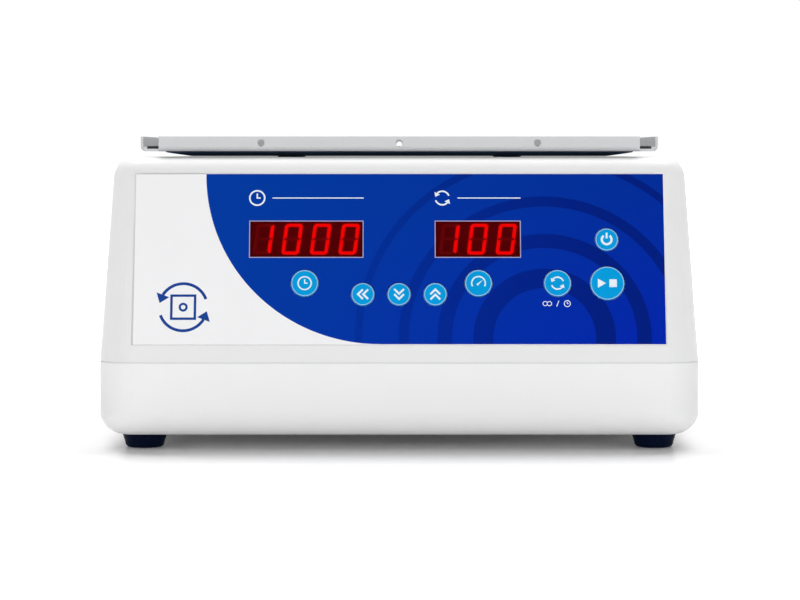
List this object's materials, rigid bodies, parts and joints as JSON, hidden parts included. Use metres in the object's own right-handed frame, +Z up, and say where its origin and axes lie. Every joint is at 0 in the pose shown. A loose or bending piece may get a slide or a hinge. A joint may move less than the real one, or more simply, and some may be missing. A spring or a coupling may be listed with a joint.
{
  "type": "orbital platform rotator",
  "caption": "Bench-top orbital rotator: a flat square tray with pierced flanges on hidden posts over a two-part moulded body with a sloping control face.",
  "frame": {"origin": "centre of the footprint on the bench", "axes": "+Z up, -Y towards the user and the control face, +X to the right seen from the front"},
  "size_m": [0.266, 0.265, 0.1387],
  "materials": {
    "shell": "moulded white plastic, fine satin grain",
    "foot_rubber": "smooth black rubber",
    "screw_steel": "bright zinc-plated steel",
    "jack_black": "black moulded plastic",
    "nut_steel": "nickel-plated",
    "deck_metal": "milled sheet and bar",
    "cast_housing": "turned",
    "bearing_steel": "polished bearing steel",
    "bronze": "sintered bronze",
    "motor_case": "black paint",
    "belt_rubber": "moulded rubber belt",
    "circuit_board": "green solder mask",
    "panel_film": "printed polycarbonate film, white at the left and blue at the right",
    "window_film": "dark red display window",
    "display_black": "dark digit module with red segments",
    "key_film": "bright blue key caps with white symbols",
    "shaft_steel": "ground steel",
    "pulley_metal": "turned",
    "weight_iron": "machined iron",
    "post_black": "black finished posts",
    "carrier_black": "black coated sheet",
    "tray_metal": "light grey powder coat on folded sheet",
    "mat_rubber": "black ribbed rubber"
  },
  "bodies": {
    "body": {"base_tub": "shell", "upper_cover": "shell", "cover_screws": "screw_steel", "feet": "foot_rubber", "foot_screws": "screw_steel", "power_jack": "jack_black", "jack_nut": "nut_steel", "deck_plate": "deck_metal", "deck_posts": "deck_metal", "deck_screws": "screw_steel", "deck_post_screws": "screw_steel", "main_housing": "cast_housing", "main_bearings": "bearing_steel", "housing_screws": "screw_steel", "idler_housings": "cast_housing", "idler_bushes": "bronze", "motor": "motor_case", "motor_screws": "screw_steel", "drive_belt": "belt_rubber", "driver_board": "circuit_board", "driver_spacers": "deck_metal", "driver_screws": "screw_steel", "control_panel": "panel_film", "time_window": "window_film", "speed_window": "window_film", "time_display": "display_black", "speed_display": "display_black", "control_board": "circuit_board", "board_screws": "screw_steel"},
    "crank": {"crank_shaft": "shaft_steel", "shaft_clip": "screw_steel", "crank_pulley": "pulley_metal", "counterweight": "weight_iron", "weight_screws": "screw_steel", "crank_pin": "shaft_steel"},
    "motor_rotor": {"motor_shaft": "shaft_steel", "motor_pulley": "pulley_metal"},
    "idler_fl": {"idler_front_left": "shaft_steel"},
    "idler_fr": {"idler_front_right": "shaft_steel"},
    "idler_bl": {"idler_back_left": "shaft_steel"},
    "idler_br": {"idler_back_right": "shaft_steel"},
    "platform": {"orbit_plate": "deck_metal", "pin_bearing": "bearing_steel", "orbit_bushes": "bronze", "tray_posts": "post_black", "post_screws": "screw_steel", "carrier_plate": "carrier_black", "tray": "tray_metal", "tray_mat": "mat_rubber", "tray_screws": "screw_steel"},
    "button_timer": {"key_timer": "key_film"},
    "button_left": {"key_left": "key_film"},
    "button_down": {"key_down": "key_film"},
    "button_up": {"key_up": "key_film"},
    "button_speed": {"key_speed": "key_film"},
    "button_mode": {"key_mode": "key_film"},
    "button_power": {"key_power": "key_film"},
    "button_start": {"key_start": "key_film"}
  },
  "joints": [
    {"name": "crank_spin", "type": "hinge", "parent": "body", "child": "crank", "pos_m": [0, 0.006, 0.08], "axis": [0, 0, 1], "continuous": true},
    {"name": "platform_orbit", "type": "hinge", "parent": "crank", "child": "platform", "pos_m": [0, 0.0155, 0.105], "axis": [0, 0, 1], "continuous": true},
    {"name": "motor_spin", "type": "hinge", "parent": "body", "child": "motor_rotor", "pos_m": [0, 0.09, 0.08], "axis": [0, 0, 1], "continuous": true},
    {"name": "idler_fl_spin", "type": "hinge", "parent": "body", "child": "idler_fl", "pos_m": [-0.07, -0.06, 0.08], "axis": [0, 0, 1], "continuous": true},
    {"name": "idler_fr_spin", "type": "hinge", "parent": "body", "child": "idler_fr", "pos_m": [0.07, -0.06, 0.08], "axis": [0, 0, 1], "continuous": true},
    {"name": "idler_bl_spin", "type": "hinge", "parent": "body", "child": "idler_bl", "pos_m": [-0.07, 0.072, 0.08], "axis": [0, 0, 1], "continuous": true},
    {"name": "idler_br_spin", "type": "hinge", "parent": "body", "child": "idler_br", "pos_m": [0.07, 0.072, 0.08], "axis": [0, 0, 1], "continuous": true},
    {"name": "press_timer", "type": "slide", "parent": "body", "child": "button_timer", "axis": [0, 0.9659, -0.2588], "range_m": [0, 0.0005], "stiffness_N_per_m": 1200},
    {"name": "press_left", "type": "slide", "parent": "body", "child": "button_left", "axis": [0, 0.9659, -0.2588], "range_m": [0, 0.0005], "stiffness_N_per_m": 1200},
    {"name": "press_down", "type": "slide", "parent": "body", "child": "button_down", "axis": [0, 0.9659, -0.2588], "range_m": [0, 0.0005], "stiffness_N_per_m": 1200},
    {"name": "press_up", "type": "slide", "parent": "body", "child": "button_up", "axis": [0, 0.9659, -0.2588], "range_m": [0, 0.0005], "stiffness_N_per_m": 1200},
    {"name": "press_speed", "type": "slide", "parent": "body", "child": "button_speed", "axis": [0, 0.9659, -0.2588], "range_m": [0, 0.0005], "stiffness_N_per_m": 1200},
    {"name": "press_mode", "type": "slide", "parent": "body", "child": "button_mode", "axis": [0, 0.9659, -0.2588], "range_m": [0, 0.0005], "stiffness_N_per_m": 1200},
    {"name": "press_power", "type": "slide", "parent": "body", "child": "button_power", "axis": [0, 0.9659, -0.2588], "range_m": [0, 0.0005], "stiffness_N_per_m": 1200},
    {"name": "press_start", "type": "slide", "parent": "body", "child": "button_start", "axis": [0, 0.9659, -0.2588], "range_m": [0, 0.0005], "stiffness_N_per_m": 1200}
  ],
  "couplings": [
    {"joint": "platform_orbit", "follows": "crank_spin", "ratio": -1},
    {"joint": "motor_spin", "follows": "crank_spin", "ratio": 6},
    {"joint": "idler_fl_spin", "follows": "crank_spin", "ratio": 1},
    {"joint": "idler_fr_spin", "follows": "crank_spin", "ratio": 1},
    {"joint": "idler_bl_spin", "follows": "crank_spin", "ratio": 1},
    {"joint": "idler_br_spin", "follows": "crank_spin", "ratio": 1}
  ]
}
